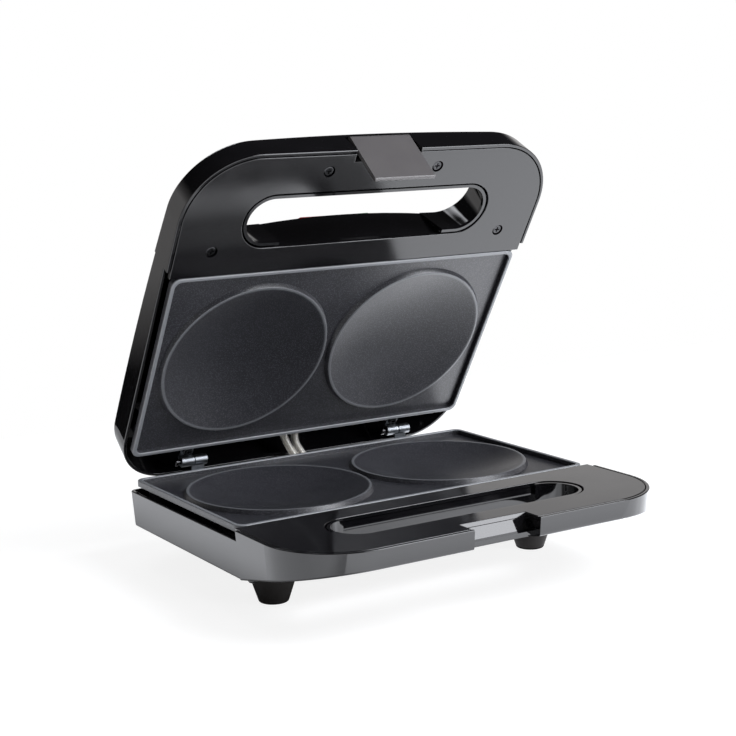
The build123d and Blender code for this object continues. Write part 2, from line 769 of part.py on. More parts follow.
def hinge_pins():
    """Headed pins through both knuckles of each hinge."""
    out = []
    for side in (-1, 1):
        x_head = lid_leaf_mid(side) - knuckle_w / 2 - pin_stub
        x_end = base_leaf_mid(side) + knuckle_w / 2 + 0.8
        pin = cross_rod(hinge_pin_r, x_head, x_end, hinge_y, hinge_z)
        head = cross_rod(pin_head_r, x_head - pin_head_w, x_head, hinge_y, hinge_z)
        out.append(pin + fillet(head.edges().group_by(Axis.X)[0], 0.7))
    return out


def lid_hinge_leaves():
    """Lid leaf of each hinge, drawn in the lid's own frame with its closing plane up."""
    axis_z = -(hinge_z - lip_gap)
    seat = lid_leaf_z
    out = []
    for side in (-1, 1):
        mid = lid_leaf_mid(side)
        x0, x1 = mid - knuckle_w / 2, mid + knuckle_w / 2
        leaf = cross_rod(knuckle_r, x0, x1, hinge_y, axis_z)
        leaf += block(x0, x1, lid_leaf_y - 4.1, hinge_y, seat - leaf_t, seat)
        leaf -= cross_rod(hinge_pin_r + pin_running, x0 - 1, x1 + 1, hinge_y, axis_z)
        leaf -= rod(screw_r + screw_play, mid, lid_leaf_y, -20, 5)
        out.append(leaf)
    return out


# Latch


def latch_line(z):
    """y of the latch's outer face at height z above the closing plane, lid closed."""
    share = (latch_top - z) / (latch_top - latch_bottom)
    return -case_front - latch_top_out + latch_lean * share


def latch():
    """Pivoting clip, drawn on the closed lid with the lid's body above z = 0."""
    half = latch_w / 2
    top, low = latch_top, latch_bottom
    outer = [(latch_line(z), z) for z in (top, low)]
    inner = [(latch_line(z) + latch_t, z) for z in (low, top)]
    clip = side_prism(outer + inner, -half, half)
    clip = fillet(clip.edges().filter_by(Axis.X).sort_by(Axis.Y)[:1], latch_round)
    pivot_y = -case_front + latch_pivot_in
    clip += cross_rod(latch_barrel_r, -half, half, pivot_y, latch_pivot_z)
    lip = cross_rod(1.3, -half, half, latch_line(low) + 1.2, low + 0.6)
    clip += lip
    hook_top = ledge_z - ledge_t - hook_gap
    root = latch_line(hook_top) + latch_t - 0.3
    reach = -ledge_front + 2.2
    hook = side_prism(
        [(root, hook_top), (reach, hook_top), (reach, hook_top - 0.8), (root, hook_top - 3.2)],
        -hook_half_w, hook_half_w
    )
    clip += hook
    clip -= cross_rod(latch_pin_r + pin_running, -half - 1, half + 1, pivot_y, latch_pivot_z)
    return clip


def latch_pin():
    """Steel pin through the latch's barrel, held in the lid casing."""
    half = latch_w / 2 + latch_side_gap + 1.8
    return cross_rod(latch_pin_r, -half, half, -case_front + latch_pivot_in, -latch_pivot_z)


# Feet and small parts


def feet(x, y):
    """Tapered rubber foot at a place and its mirror place."""
    top = -base_depth
    foot = Pos(0, 0, top - foot_h / 2) * Cone(foot_tip_r, foot_root_r, foot_h)
    foot = fillet(foot.edges().group_by(Axis.Z)[0], 1.2)
    foot -= rod(screw_r + screw_play, 0, 0, -80, 0)
    foot -= rod(screw_head_r + 0.4, 0, 0, -80, top - foot_seat)
    return [Pos(side * x, y, 0) * foot for side in (-1, 1)]


def cord_gland():
    """Rubber bush of the mains inlet, bare of its cord."""
    flange_r = gland_r + 1.8
    seat_y = base_back + draft * (gland_z + flange_r)
    flange = Pos(gland_x, seat_y + 1.0, gland_z) * Rot(90, 0, 0) * Cylinder(flange_r, 2.0)
    neck = Pos(gland_x, base_back - 2.5, gland_z) * Rot(90, 0, 0) * Cylinder(gland_r, 6.2)
    bore = Pos(gland_x, base_back, gland_z) * Rot(90, 0, 0) * Cylinder(gland_bore_r, 30)
    return flange + neck - bore


def terminal_block():
    """Four-way ceramic terminal block with a well over each way."""
    body = block(-block_half_w, block_half_w, block_front, block_back, base_floor_z, block_top)
    step = block_half_w / 2
    for i in range(4):
        x = -block_half_w + step * (i + 0.5)
        body -= rod(1.7, x, (block_front + block_back) / 2, block_top - 4, block_top + 1)
        body -= Pos(x, block_front, way_z) * Rot(90, 0, 0) * Cylinder(way_r, 2 * way_deep)
    for x in link_base_x:
        body -= Pos(x, block_back, link_way_z) * Rot(90, 0, 0) * Cylinder(link_way_r, 2 * way_deep)
    return body


def thermostat():
    """Snap-disc thermostat under the plate, between the bowls."""
    z = -lip_h - slab_t
    body = rod(8.0, 0, stat_y, z - 5.5, z) + rod(6.6, 0, stat_y, z - 9.0, z - 5.0)
    for side in (-1, 1):
        x = side * stat_tab_x
        body += block(x - 1.2, x + 1.2, stat_y - 0.4, stat_y + 0.4, stat_tab_z, z - 8.0)
    return body


def thermal_fuse():
    """Small cylinder clipped under the plate, between the bowls."""
    z = -lip_h - slab_t
    body = cross_rod(2.2, -6, 6, stat_y, z - 2.5)
    body += cross_rod(0.7, -11, 11, stat_y, z - 2.5)
    return body + block(-3, 3, stat_y - 3, stat_y + 3, z - 0.8, z)


def wire(points, r):
    """Round wire along straight runs, joined by the widest arcs that fit."""
    spots = [Vector(*point) for point in points]
    runs = [b - a for a, b in zip(spots, spots[1:])]
    bends = []
    for before, after in zip(runs, runs[1:]):
        half_turn = math.radians(before.get_angle(after)) / 2
        bends.append(0.45 * min(before.length, after.length) / math.tan(half_turn))
    path = FilletPolyline(*spots, radius=bends)
    body = sweep(Plane(origin=path @ 0, z_dir=path % 0) * Circle(r), path=path)
    share = body.volume / (math.pi * r ** 2 * path.length)
    print("wire length", round(path.length, 1), "bends", [round(bend, 2) for bend in bends], "volume", round(share, 4))
    return body


def base_wires():
    """Wires from the element and the thermostat to the terminal block."""
    pin_y = tube_end_y + pin_out
    bend_y = pin_y + 3.2
    end_y = block_front + way_deep - 0.1
    out = []
    for side in (-1, 1):
        x = side * tube_end_x
        out.append(wire([(x, pin_y, tube_z), (x, bend_y, tube_z), (x, bend_y, way_z), (x, end_y, way_z)], wire_r))
        x = side * stat_tab_x
        out.append(wire([(x, stat_y, stat_tab_z), (x, stat_y, way_z), (x, end_y, way_z)], wire_r))
    return out


def lid_wires():
    """Wires from the thermal fuse to the two signal lamps, in the lid's own drawing."""
    z = -lip_h - slab_t - 2.5
    out = []
    for side, x_mid in zip((-1, 1), lens_places()):
        turn_x = side * 27
        lamp = lamp_z(x_mid)
        end_x = x_mid + side * lamp_half
        out.append(wire([
            (side * 11, stat_y, z), (turn_x, stat_y, z), (turn_x, lens_y, z), (turn_x, lens_y, lamp),
            (end_x, lens_y, lamp)
        ], wire_r))
    return out


def lid_spot(x, y, z):
    """A place in the lid's own drawing, turned to the open lid."""
    turned = to_lid(Pos(x, y, z) * Sphere(1)).center()
    return (turned.X, turned.Y, turned.Z)


def link_wires():
    """Two sleeved wires from the terminal block over the hinge line to the lid's element pins."""
    out = []
    for side, x, x_lid in zip((-1, 1), link_base_x, link_lid_x):
        pin_x = side * tube_end_x
        out.append(wire([
            (x, block_back - way_deep + 0.1, link_way_z), (x, link_rise_y, link_way_z),
            (x, link_rise_y, link_base_z), (x, link_out_y, link_base_z),
            lid_spot(x_lid, link_lid_y, link_lid_z),
            lid_spot(pin_x, tube_end_y + pin_out + link_pin_run, tube_z),
            lid_spot(pin_x, tube_end_y + pin_out, tube_z)
        ], link_r))
    return out


def wire_bush():
    """Rubber bush in the base's rear rim that the link wires pass."""
    mid = sum(link_base_x) / 2
    half = notch_half_w - 0.05
    seat_y = base_back - draft * rim_drop
    bush = block(mid - half, mid + half, base_back - bush_in, base_back, notch_z + 0.05, -rim_drop)
    bush += block(mid - half - 1.2, mid + half + 1.2, seat_y, seat_y + 1.2, notch_z - 1.2, -rim_drop)
    for x in link_base_x:
        bush -= Pos(x, base_back, link_base_z) * Rot(90, 0, 0) * Cylinder(link_r + 0.05, 20)
    return bush


def lens(x_mid):
    """Raised signal window with a stem through the lid's crown, drawn with the lid's crown down."""
    top_z = -lid_surface(x_mid, lens_y)
    half = lens_len / 2
    bar = Pos(x_mid, lens_y, top_z - lens_up) * extrude(
        RectangleRounded(2 * half, lens_w, lens_w / 2 - 0.4), amount=lens_up + 1.0
    )
    bar = fillet(bar.edges().group_by(Axis.Z)[0], 0.5)
    bar -= lid_form(0) - lens_holes()
    stem = block(x_mid - half + 4, x_mid + half - 4, lens_y - lens_stem_w / 2, lens_y + lens_stem_w / 2,
                 top_z - 0.5, top_z + wall + 1.6)
    return bar + stem


def lens_holes():
    """Slots in the lid's crown for the stems of the two windows."""
    out = None
    for x in lens_places():
        half = lens_len / 2 - 4 + 0.05
        hole = block(x - half, x + half, lens_y - lens_stem_w / 2 - 0.05, lens_y + lens_stem_w / 2 + 0.05, -deep, -8)
        out = hole if out is None else out + hole
    return out


def lens_places():
    """Middle of each signal window along X."""
    step = (lens_len + lens_gap) / 2
    return (lens_mid_x - step, lens_mid_x + step)


def lid_surface(x, y):
    """Height of the lid's crowned face above the closing plane's drawing level."""
    fall_x = crown_cross_r - math.sqrt(crown_cross_r ** 2 - x ** 2)
    r = crown_long_r - fall_x
    return lid_depth - fall_x - (r - math.sqrt(r ** 2 - (y - crown_y) ** 2))


def lamp_z(x):
    """Height of a lamp under its window."""
    return -lid_surface(x, lens_y) + wall + 1.8 + lamp_r


def signal_lamps():
    """Neon lamps that light the two windows from inside."""
    bulbs = [cross_rod(lamp_r, x - lamp_half, x + lamp_half, lens_y, lamp_z(x)) for x in lens_places()]
    return [fillet(bulb.edges(), 1.2) for bulb in bulbs]


# Assembly


def to_lid(shape):
    """Turns a lid piece from its own drawing to its place on the open lid."""
    closed = Pos(0, 0, lip_gap) * mirror(shape, about=Plane.XY)
    return closed.rotate(axis_x, -open_deg)


def to_open(shape):
    """Turns a piece drawn on the closed lid to its place on the open lid."""
    return (Pos(0, 0, lip_gap) * shape).rotate(axis_x, -open_deg)


def lid_group(shapes):
    """Turns several lid pieces at once."""
    return [to_lid(shape) for shape in shapes]


parts = {}
ear_place = (ear_x, -ear_out + post_r)
shield_places = pairs(*[(shield_screw_x, y) for y in shield_screw_ys])

parts["base_shell"] = base_shell()
recess_slope = recess_lean / (-cover_drop - ledge_z)
parts["base_handle_cover"] = handle_cover((recess_half_w, -case_front + recess_deep, recess_slope), False)
parts["base_plate"] = cooking_plate()
parts["base_heater"] = heater()
parts["base_heater_straps"] = heater_straps()
parts["base_strap_screws"] = screws_up(strap_screw_places(), pad_z - strap_t, strap_screw_grip)
parts["base_heat_shield"] = heat_shield()
parts["base_shield_screws"] = screws_down(shield_places, shield_z, base_shield_screw)
parts["base_plate_front_screws"] = screws_down(pairs(ear_place), ear_z, ear_screw)
parts["base_plate_rear_screws"] = screws_up(pairs(rear_boss), base_floor_z + floor_seat, rear_screw)
parts["base_cover_screws"] = screws_up(
    pairs(cover_screw_a, cover_screw_b), cover_seat_z, base_cover_screw
)
parts["front_feet"] = feet(front_foot_x, front_foot_y)
parts["rear_feet"] = feet(rear_foot_x, rear_foot_y)
parts["foot_screws"] = screws_up(
    pairs((front_foot_x, front_foot_y), (rear_foot_x, rear_foot_y)), -base_depth - foot_seat, foot_screw
)
parts["mains_inlet_bush"] = cord_gland()
parts["terminal_block"] = terminal_block()
parts["thermostat"] = thermostat()
parts["base_wires"] = base_wires()
parts["link_wires"] = link_wires()
parts["wire_bush"] = wire_bush()
parts["base_hinge_leaves"] = base_hinge_leaves()
parts["base_hinge_screws"] = base_hinge_screws()
parts["hinge_pins"] = hinge_pins()

parts["lid_shell"] = to_lid(lid_shell())
latch_notch = (latch_w / 2 + latch_side_gap, -case_front + latch_room, 0)
parts["lid_handle_cover"] = to_lid(handle_cover(latch_notch, True))
parts["lid_plate"] = to_lid(cooking_plate())
parts["lid_heater"] = to_lid(heater())
parts["lid_heater_straps"] = lid_group(heater_straps())
parts["lid_strap_screws"] = lid_group(screws_up(strap_screw_places(), pad_z - strap_t, strap_screw_grip))
parts["lid_heat_shield"] = to_lid(heat_shield())
parts["lid_shield_screws"] = lid_group(screws_down(shield_places, shield_z, lid_shield_screw))
parts["lid_plate_screws"] = lid_group(screws_down(pairs(ear_place), ear_z, ear_screw))
cover_seat = -cover_drop - screw_head_h - 0.5
parts["lid_cover_screws"] = lid_group(
    screws_down(pairs(cover_screw_a, cover_screw_b), cover_seat, lid_cover_screw)
)
parts["lid_hinge_leaves"] = lid_group(lid_hinge_leaves())
parts["lid_hinge_screws"] = lid_group(
    screws_down([(lid_leaf_mid(side), lid_leaf_y) for side in (-1, 1)], lid_leaf_z, lid_leaf_screw)
)
parts["signal_window_red"] = to_lid(lens(lens_places()[0]))
parts["signal_window_green"] = to_lid(lens(lens_places()[1]))
parts["signal_lamps"] = lid_group(signal_lamps())
parts["thermal_fuse"] = to_lid(thermal_fuse())
parts["lid_wires"] = lid_group(lid_wires())
parts["latch_pin"] = to_lid(latch_pin())
parts["latch"] = to_open(latch())

groups = {}
for name, shape in parts.items():
    pieces = shape if isinstance(shape, list) else [shape]
    flat = [solid for piece in pieces for solid in piece.solids()]
    groups[name] = Compound(children=flat) if len(flat) > 1 else flat[0]

# The origin goes to the middle of the bounding box's bottom face
box = Compound(children=[Compound(group.solids()) for group in groups.values()]).bounding_box()
origin = Vector((box.min.X + box.max.X) / 2, (box.min.Y + box.max.Y) / 2, box.min.Z)
print("origin", origin, "size", box.size)
for name, group in groups.items():
    print(name, len(group.solids()), round(group.volume), group.is_valid)
    export_step(group.moved(Location(-origin)), f"parts/{name}.step")
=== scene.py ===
import json
import bpy
import numpy as np
from mathutils import Matrix, Vector


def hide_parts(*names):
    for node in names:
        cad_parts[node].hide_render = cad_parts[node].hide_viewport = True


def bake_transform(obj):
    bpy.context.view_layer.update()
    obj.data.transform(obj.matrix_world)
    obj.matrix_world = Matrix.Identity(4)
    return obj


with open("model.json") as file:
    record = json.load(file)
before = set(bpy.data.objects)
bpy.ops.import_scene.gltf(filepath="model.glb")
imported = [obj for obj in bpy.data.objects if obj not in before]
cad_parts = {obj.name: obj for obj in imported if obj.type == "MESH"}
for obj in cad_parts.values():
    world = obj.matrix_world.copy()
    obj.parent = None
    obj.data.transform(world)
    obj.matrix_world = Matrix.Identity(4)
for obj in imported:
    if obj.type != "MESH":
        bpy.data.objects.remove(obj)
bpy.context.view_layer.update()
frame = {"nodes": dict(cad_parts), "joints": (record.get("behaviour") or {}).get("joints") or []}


# Casings and handle covers
# Injection moulded ABS in piano black: four shells and covers, polished tools, no paint.
# The mirror gloss shows the room, and a faint orange peel bends it.

def linear(code):
    """Linear colour of an sRGB hex value, with alpha 1."""
    part = np.array([int(code[i:i + 2], 16) for i in (1, 3, 5)]) / 255
    value = np.where(part <= 0.04045, part / 12.92, ((part + 0.055) / 1.055) ** 2.4)
    return (*value.tolist(), 1.0)


def add(tree, kind, settings, links={}):
    """Adds a node with its settings and links. A link names the node and the output that feed a socket."""
    node = tree.nodes.new(kind)
    for key, value in settings.items():
        if isinstance(key, int) or key in node.inputs:
            node.inputs[key].default_value = value
        else:
            setattr(node, key, value)
    for key, (source, output) in links.items():
        tree.links.new(source.outputs[output], node.inputs[key])
    return node


def finish(name):
    """A material with an empty tree and its output node."""
    material = bpy.data.materials.new(name)
    material.use_nodes = True
    tree = material.node_tree
    tree.nodes.clear()
    return material, tree, add(tree, "ShaderNodeOutputMaterial", {})


def dress(material, *names):
    """Gives CAD nodes a finish."""
    for name in names:
        frame["nodes"][name].material_slots[0].material = material


def moulded_abs(name, smoothest, dullest):
    """Black ABS between two roughnesses. The orange peel is about 7 mm across, and cloudier spots
    25 mm across lie where hands wipe it."""
    material, tree, out = finish(name)
    place = add(tree, "ShaderNodeTexCoord", {})
    peel = add(tree, "ShaderNodeTexNoise", {"Scale": 140.0, "Detail": 1.0}, {"Vector": (place, "Object")})
    wipe = add(tree, "ShaderNodeTexNoise", {"Scale": 40.0, "Detail": 3.0}, {"Vector": (place, "Object")})
    haze = add(tree, "ShaderNodeMapRange", {"From Min": 0.3, "From Max": 0.7, "To Min": smoothest,
               "To Max": dullest}, {"Value": (wipe, "Fac")})
    tint = add(tree, "ShaderNodeMix", {"data_type": "RGBA", 6: linear("#0a0a0b"), 7: linear("#121114")},
               {0: (wipe, "Fac")})
    bump = add(tree, "ShaderNodeBump", {"Strength": 0.15, "Distance": 0.00003}, {"Height": (peel, "Fac")})
    gloss = add(tree, "ShaderNodeBsdfPrincipled", {"IOR": 1.52},
                {"Base Color": (tint, 2), "Roughness": (haze, "Result"), "Normal": (bump, "Normal")})
    tree.links.new(gloss.outputs["BSDF"], out.inputs["Surface"])
    return material


# The casings come from polished tools. The covers' tool is only fine ground, so they mirror softly.
dress(moulded_abs("piano_black_moulded_abs", 0.035, 0.085), "base_shell", "lid_shell")
dress(moulded_abs("semi_gloss_moulded_abs", 0.09, 0.14), "base_handle_cover", "lid_handle_cover")


# Cooking plates
# Two identical die-cast aluminium plates with a sprayed and baked non-stick coat, charcoal with fine
# flecks. The coat is satin. The lips and the ring ridges are painted paler, a painted highlight where they
# catch the light.

def non_stick(name, facing, brim):
    """Non-stick coat of a plate that faces a direction, with its lip that many metres along it.
    Flecks about 0.8 mm apart, drawn that coarse so that they show, over a grit of 0.4 mm, and a painted
    highlight: paler on the last half millimetre up to the brim, over the lips and the ring tops."""
    material, tree, out = finish(name)
    place = add(tree, "ShaderNodeTexCoord", {})
    flecks = add(tree, "ShaderNodeTexVoronoi", {"Scale": 1300.0}, {"Vector": (place, "Object")})
    grit = add(tree, "ShaderNodeTexNoise", {"Scale": 2400.0, "Detail": 2.0}, {"Vector": (place, "Object")})
    cloud = add(tree, "ShaderNodeTexNoise", {"Scale": 28.0, "Detail": 3.0}, {"Vector": (place, "Object")})
    spark = add(tree, "ShaderNodeMapRange", {"From Min": 0.45, "From Max": 0.1, "To Min": 0.0,
                "To Max": 1.0}, {"Value": (flecks, "Distance")})
    ground = add(tree, "ShaderNodeMix", {"data_type": "RGBA", 6: linear("#1f1f23"), 7: linear("#29292e")},
                 {0: (cloud, "Fac")})
    body = add(tree, "ShaderNodeMix", {"data_type": "RGBA", 7: linear("#55565c")},
               {0: (spark, "Result"), 6: (ground, 2)})
    along = add(tree, "ShaderNodeVectorMath", {"operation": "DOT_PRODUCT", 1: facing},
                {0: (place, "Object")})
    # Painted highlight: the lips and ring tops near the brim are painted pale grey #989b9f.
    painted_lip_highlight = add(tree, "ShaderNodeMapRange", {"interpolation_type": "SMOOTHSTEP", "From Min": brim - 0.0009,
               "From Max": brim - 0.0001, "To Min": 0.0, "To Max": 0.7}, {"Value": (along, "Value")})
    coat = add(tree, "ShaderNodeMix", {"data_type": "RGBA", 7: linear("#989b9f")},
               {0: (painted_lip_highlight, 0), 6: (body, 2)})
    satin = add(tree, "ShaderNodeMapRange", {"From Min": 0.3, "From Max": 0.7, "To Min": 0.33,
                "To Max": 0.4}, {"Value": (cloud, "Fac")})
    bump = add(tree, "ShaderNodeBump", {"Strength": 0.25, "Distance": 0.00006}, {"Height": (grit, "Fac")})
    shader = add(tree, "ShaderNodeBsdfPrincipled", {"IOR": 1.55},
                 {"Base Color": (coat, 2), "Roughness": (satin, "Result"), "Normal": (bump, "Normal")})
    tree.links.new(shader.outputs["BSDF"], out.inputs["Surface"])
    return material


# The base's plate faces up. The lid's leans back, and its lips stand ahead of the hinge's axis.
BASE_BRIM = 0.0483          # height of the base's lips over the counter
LIP_AHEAD = 0.0025
hinge = np.array(next(j for j in frame["joints"] if j["name"] == "lid_hinge")["pos_m"])
lean = np.radians(59)
lid_faces = (0.0, -np.sin(lean), -np.cos(lean))
lid_brim = hinge @ lid_faces + LIP_AHEAD
dress(non_stick("sprayed_non_stick_coat", (0.0, 0.0, 1.0), BASE_BRIM), "base_plate")
dress(non_stick("sprayed_non_stick_coat_of_lid", lid_faces, lid_brim), "lid_plate")


# Latch
# One moulding in mid grey nylon with a spark-eroded satin face and a rolled lower edge.

latch_grey, tree, out = finish("satin_grey_nylon")
place = add(tree, "ShaderNodeTexCoord", {})
spark = add(tree, "ShaderNodeTexNoise", {"Scale": 1800.0, "Detail": 2.0}, {"Vector": (place, "Object")})
cloud = add(tree, "ShaderNodeTexNoise", {"Scale": 60.0, "Detail": 3.0}, {"Vector": (place, "Object")})
ground = add(tree, "ShaderNodeMix", {"data_type": "RGBA", 6: linear("#504d4e"), 7: linear("#5b5858")},
             {0: (cloud, "Fac")})
bump = add(tree, "ShaderNodeBump", {"Strength": 0.2, "Distance": 0.00005}, {"Height": (spark, "Fac")})
shader = add(tree, "ShaderNodeBsdfPrincipled", {"IOR": 1.53, "Roughness": 0.38},
             {"Base Color": (ground, 2), "Normal": (bump, "Normal")})
tree.links.new(shader.outputs["BSDF"], out.inputs["Surface"])
dress(latch_grey, "latch")


# Feet and bushes
# Moulded rubber, almost black, matt with a bloom of talc in the pores.

rubber, tree, out = finish("moulded_black_rubber")
place = add(tree, "ShaderNodeTexCoord", {})
pores = add(tree, "ShaderNodeTexNoise", {"Scale": 1500.0, "Detail": 3.0}, {"Vector": (place, "Object")})
bloom = add(tree, "ShaderNodeTexNoise", {"Scale": 90.0, "Detail": 4.0}, {"Vector": (place, "Object")})
ground = add(tree, "ShaderNodeMix", {"data_type": "RGBA", 6: linear("#191716"), 7: linear("#292523")},
             {0: (bloom, "Fac")})
bump = add(tree, "ShaderNodeBump", {"Strength": 0.3, "Distance": 0.00008}, {"Height": (pores, "Fac")})
shader = add(tree, "ShaderNodeBsdfPrincipled", {"IOR": 1.5, "Roughness": 0.7, "Specular IOR Level": 0.3},
             {"Base Color": (ground, 2), "Normal": (bump, "Normal")})
tree.links.new(shader.outputs["BSDF"], out.inputs["Surface"])
dress(rubber, "front_feet", "rear_feet", "mains_inlet_bush", "wire_bush")


# Hinges
# Leaves stamped and rolled from zinc-plated steel strip, on headed steel pins.

zinc, tree, out = finish("zinc_plated_strip")
place = add(tree, "ShaderNodeTexCoord", {})
stretch = add(tree, "ShaderNodeMapping", {"Scale": (90.0, 1800.0, 1800.0)}, {"Vector": (place, "Object")})
roll = add(tree, "ShaderNodeTexNoise", {"Scale": 1.0, "Detail": 3.0}, {"Vector": (stretch, "Vector")})
spangle = add(tree, "ShaderNodeTexNoise", {"Scale": 420.0, "Detail": 2.0}, {"Vector": (place, "Object")})
ground = add(tree, "ShaderNodeMix", {"data_type": "RGBA", 6: linear("#5d6063"), 7: linear("#86898d")},
             {0: (spangle, "Fac")})
rough = add(tree, "ShaderNodeMapRange", {"From Min": 0.3, "From Max": 0.7, "To Min": 0.3, "To Max": 0.45},
            {"Value": (roll, "Fac")})
bump = add(tree, "ShaderNodeBump", {"Strength": 0.15, "Distance": 0.00003}, {"Height": (roll, "Fac")})
shader = add(tree, "ShaderNodeBsdfPrincipled", {"Metallic": 1.0},
             {"Base Color": (ground, 2), "Roughness": (rough, "Result"), "Normal": (bump, "Normal")})
tree.links.new(shader.outputs["BSDF"], out.inputs["Surface"])
dress(zinc, "base_hinge_leaves", "lid_hinge_leaves", "base_heater_straps", "lid_heater_straps")


# Screws and pins
# Cold-headed steel, black zinc plated and oiled, cross recesses punched in.

plated, tree, out = finish("black_zinc_plated_steel")
place = add(tree, "ShaderNodeTexCoord", {})
stain = add(tree, "ShaderNodeTexNoise", {"Scale": 700.0, "Detail": 3.0}, {"Vector": (place, "Object")})
ground = add(tree, "ShaderNodeMix", {"data_type": "RGBA", 6: linear("#242425"), 7: linear("#4a4a4b")},
             {0: (stain, "Fac")})
rough = add(tree, "ShaderNodeMapRange", {"From Min": 0.3, "From Max": 0.7, "To Min": 0.08, "To Max": 0.2},
            {"Value": (stain, "Fac")})
shader = add(tree, "ShaderNodeBsdfPrincipled", {"Metallic": 1.0},
             {"Base Color": (ground, 2), "Roughness": (rough, "Result")})
tree.links.new(shader.outputs["BSDF"], out.inputs["Surface"])
dress(plated, "hinge_pins", "latch_pin", "base_hinge_screws", "lid_hinge_screws", "lid_cover_screws",
      "base_cover_screws", "base_strap_screws", "lid_strap_screws", "base_shield_screws",
      "lid_shield_screws", "base_plate_front_screws", "base_plate_rear_screws", "lid_plate_screws",
      "foot_screws")


# Heating elements
# Sheathed steel tubes, annealed dull when they were filled and bent, with straw and blue heat tint.

def mottled(name, dark, light, spot, smoothest, dullest, grain, depth, plain):
    """A finish whose colour and roughness wander between two values in spots of one size, with a
    grain of another size and depth, in metres. The plain settings are the same all over."""
    material, tree, out = finish(name)
    place = add(tree, "ShaderNodeTexCoord", {})
    spots = add(tree, "ShaderNodeTexNoise", {"Scale": 1 / spot, "Detail": 3.0},
                {"Vector": (place, "Object")})
    grains = add(tree, "ShaderNodeTexNoise", {"Scale": 1 / grain, "Detail": 2.0},
                 {"Vector": (place, "Object")})
    ground = add(tree, "ShaderNodeMix", {"data_type": "RGBA", 6: linear(dark), 7: linear(light)},
                 {0: (spots, "Fac")})
    dull = add(tree, "ShaderNodeMapRange", {"From Min": 0.3, "From Max": 0.7, "To Min": smoothest,
               "To Max": dullest}, {"Value": (spots, "Fac")})
    bump = add(tree, "ShaderNodeBump", {"Strength": 0.3, "Distance": depth}, {"Height": (grains, "Fac")})
    shader = add(tree, "ShaderNodeBsdfPrincipled", plain,
                 {"Base Color": (ground, 2), "Roughness": (dull, "Result"), "Normal": (bump, "Normal")})
    tree.links.new(shader.outputs["BSDF"], out.inputs["Surface"])
    return material


# Annealed steel tube: heat tint in patches 8 mm long, scale 0.5 mm across.
dress(mottled("annealed_steel_tube", "#77716a", "#a3a098", 0.008, 0.4, 0.55, 0.0005, 0.00003,
              {"Metallic": 1.0}), "base_heater", "lid_heater")


# Heat shields
# Pans pressed from bright rolled aluminium sheet, screwed to posts in the casings.

# Rolled aluminium: clouds 20 mm across and rolling grain of 0.3 mm.
dress(mottled("bright_rolled_aluminium", "#c9cacb", "#e3e4e4", 0.02, 0.22, 0.34, 0.0003, 0.00001,
              {"Metallic": 1.0}), "base_heat_shield", "lid_heat_shield")


# Thermostat, terminal block and thermal fuse
# A snap-disc thermostat in a phenolic housing, and ceramic bodies pressed and fired without glaze.

# Phenolic: brown-black, with filler that shows as flecks 4 mm across.
dress(mottled("moulded_phenolic", "#171310", "#261f19", 0.004, 0.35, 0.5, 0.0004, 0.00002,
              {"IOR": 1.6}), "thermostat")
# Unglazed ceramic: grains of 0.3 mm, and firing marks 6 mm across.
dress(mottled("unglazed_steatite", "#d3ccbd", "#e8e3d8", 0.006, 0.65, 0.8, 0.0003, 0.00004,
              {"IOR": 1.58}), "terminal_block", "thermal_fuse")


# Inner wires
# Stranded nickel wire in braided glass sleeving, off-white and fibrous.

# Glass braid: strands 1.2 mm apart that scatter the light, with a pile of 0.4 mm.
dress(mottled("braided_glass_sleeve", "#cfccc3", "#efede6", 0.0012, 0.7, 0.85, 0.0004, 0.00008,
              {"IOR": 1.5}), "base_wires", "lid_wires")


# Signal windows and lamps
# Two tinted acrylic lenses pushed into the lid's crown, red and green, over neon lamps of clear glass.

# Acrylic: flow marks 5 mm across, and a polished face.
dress(mottled("red_tinted_acrylic", "#a3120e", "#c4201a", 0.005, 0.05, 0.12, 0.001, 0.00001,
              {"IOR": 1.49, "Transmission Weight": 0.35}), "signal_window_red")
dress(mottled("green_tinted_acrylic", "#14823a", "#27a04e", 0.005, 0.05, 0.12, 0.001, 0.00001,
              {"IOR": 1.49, "Transmission Weight": 0.35}), "signal_window_green")
# Blown glass: clear, with seeds and ripples 3 mm across.
dress(mottled("clear_lamp_glass", "#f0e4da", "#ffffff", 0.003, 0.02, 0.06, 0.001, 0.00001,
              {"IOR": 1.51, "Transmission Weight": 1.0}), "signal_lamps")


# Link wires
# Two wires from the base over the hinge line into the lid: a tinned copper braid in a clear silicone
# sleeve 4.7 mm thick. They hang side by side, held at both ends. The real wires bend when the lid
# turns; here they are drawn once, as they hang with the lid open.

SLEEVE_R = 0.00235
BRAID_R = 0.0015
PLATE_Y = 0.0448835         # from the drawing's start at the plate's front edge to the frame's middle
LIP_GAP = 0.0003            # between the two plates' lips when closed


def on_lid(x, y, z):
    """Point drawn on the closed lid, y behind the plate's front edge and z down into the lid, as it
    lies on the open lid: turned about the hinge by the lid's lean."""
    dy, dz = y - PLATE_Y - hinge[1], -z + LIP_GAP + BASE_BRIM - hinge[2]
    c, s = np.cos(-lean), np.sin(-lean)
    return (x, hinge[1] + dy * c - dz * s, hinge[2] + dy * s + dz * c)


